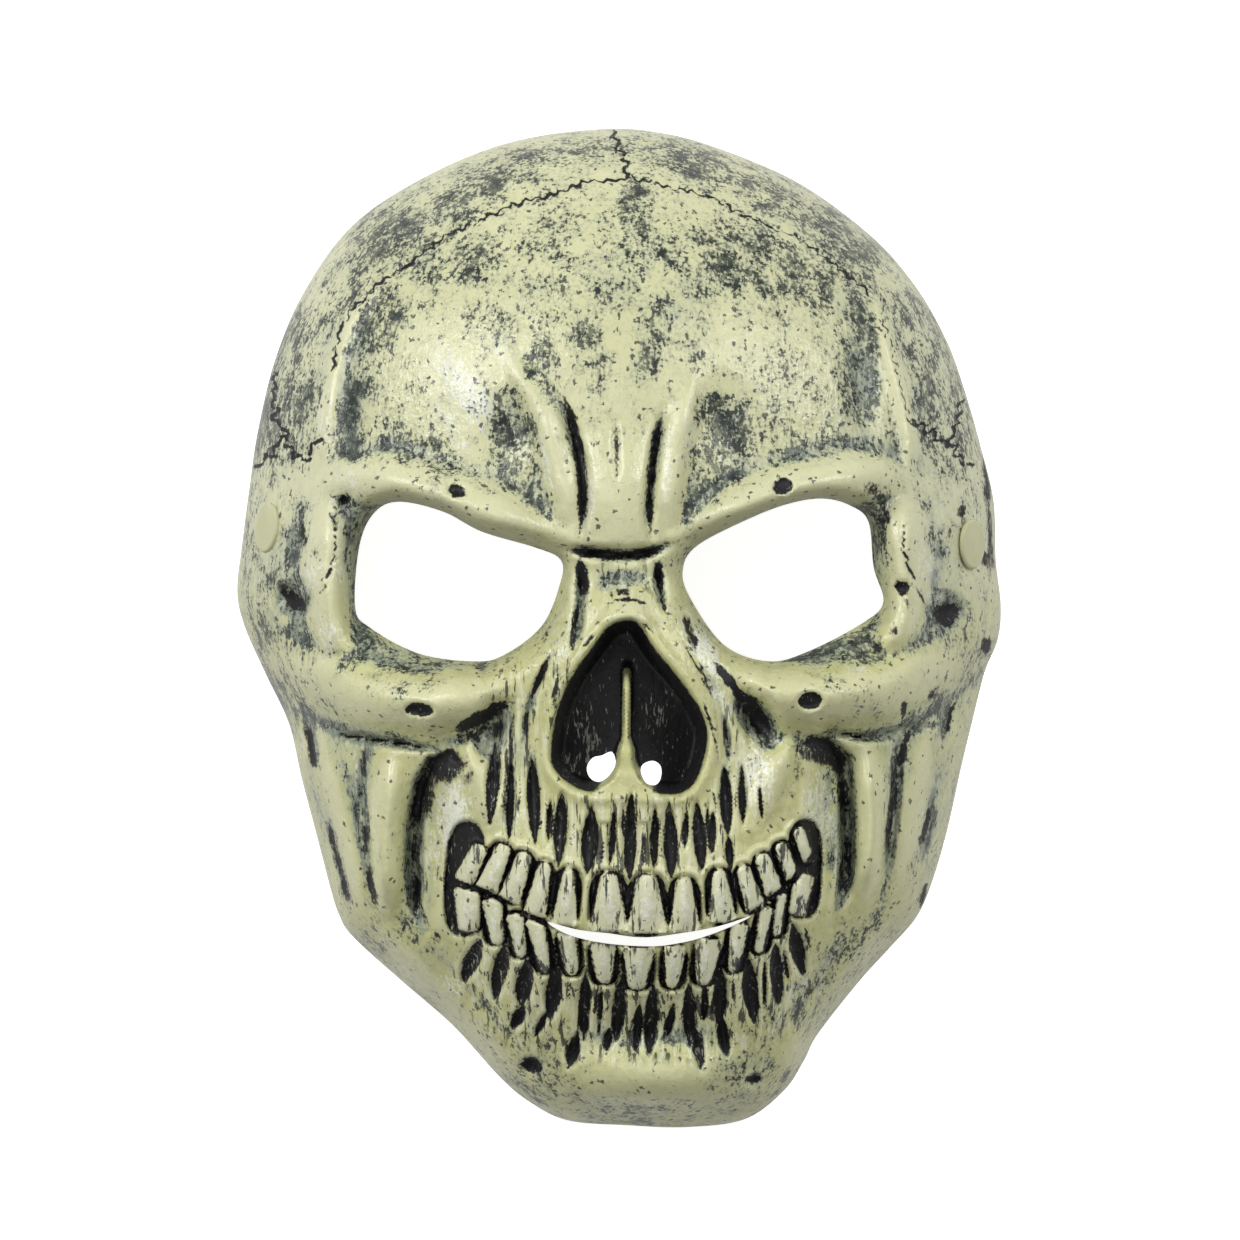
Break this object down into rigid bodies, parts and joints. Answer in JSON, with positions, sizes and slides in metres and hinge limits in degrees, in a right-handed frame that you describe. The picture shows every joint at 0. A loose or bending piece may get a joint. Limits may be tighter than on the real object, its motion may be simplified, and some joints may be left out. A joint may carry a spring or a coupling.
{
  "type": "skull mask",
  "caption": "Full-face skull mask: a moulded bone-coloured shell, hollow at the back, with open eyes, a deep nose, bared teeth and a round strap rivet at each temple.",
  "frame": {"origin": "middle of the mask's outline, in the plane of the rim that it lies on", "axes": "+Z out of the face, +Y towards the crown, +X to the right of someone looking at the face"},
  "size_m": [0.1996, 0.2612, 0.0834],
  "materials": {
    "shell_plastic": "satin bone cream, dry-brushed with blue-black",
    "rivet_plastic": "satin bone cream"
  },
  "bodies": {
    "root": {"mask_shell": "shell_plastic", "strap_rivet_left": "rivet_plastic", "strap_rivet_right": "rivet_plastic"}
  },
  "joints": []
}
